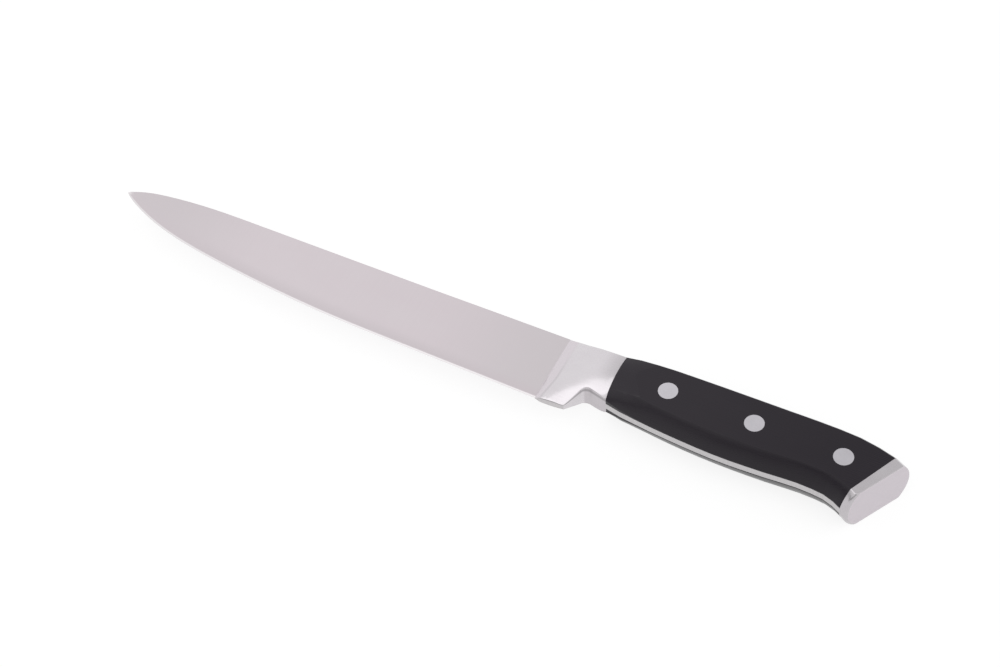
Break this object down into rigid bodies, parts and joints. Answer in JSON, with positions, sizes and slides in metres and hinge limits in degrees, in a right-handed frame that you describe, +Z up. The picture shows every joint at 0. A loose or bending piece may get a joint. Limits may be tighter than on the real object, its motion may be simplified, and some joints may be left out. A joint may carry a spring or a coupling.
{
  "type": "carving knife",
  "caption": "Slim carving knife with a narrow tapering blade, a full bolster with heel and finger guard, a full tang, riveted black scales and a slanted steel end cap.",
  "frame": {"origin": "Centre of the bounding box in plan, on the flat side of the handle that the knife rests on.", "axes": "X runs along the knife from the tip to the butt, Y from the cutting edge to the spine, Z up through the thickness from the resting side to the upper side."},
  "size_m": [0.3421, 0.0322, 0.02],
  "materials": {
    "blade": "satin, finely brushed",
    "bolster": "polished",
    "tang": "ground across its edge",
    "end_cap": "polished sides, satin end face",
    "scale": "satin",
    "rivet": "satin, ground flush"
  },
  "bodies": {
    "root": {"blade": "blade", "bolster": "bolster", "tang": "tang", "end_cap": "end_cap", "upper_scale": "scale", "lower_scale": "scale", "front_rivet_pin": "rivet", "front_rivet_sleeve": "rivet", "middle_rivet_pin": "rivet", "middle_rivet_sleeve": "rivet", "rear_rivet_pin": "rivet", "rear_rivet_sleeve": "rivet"}
  },
  "joints": []
}
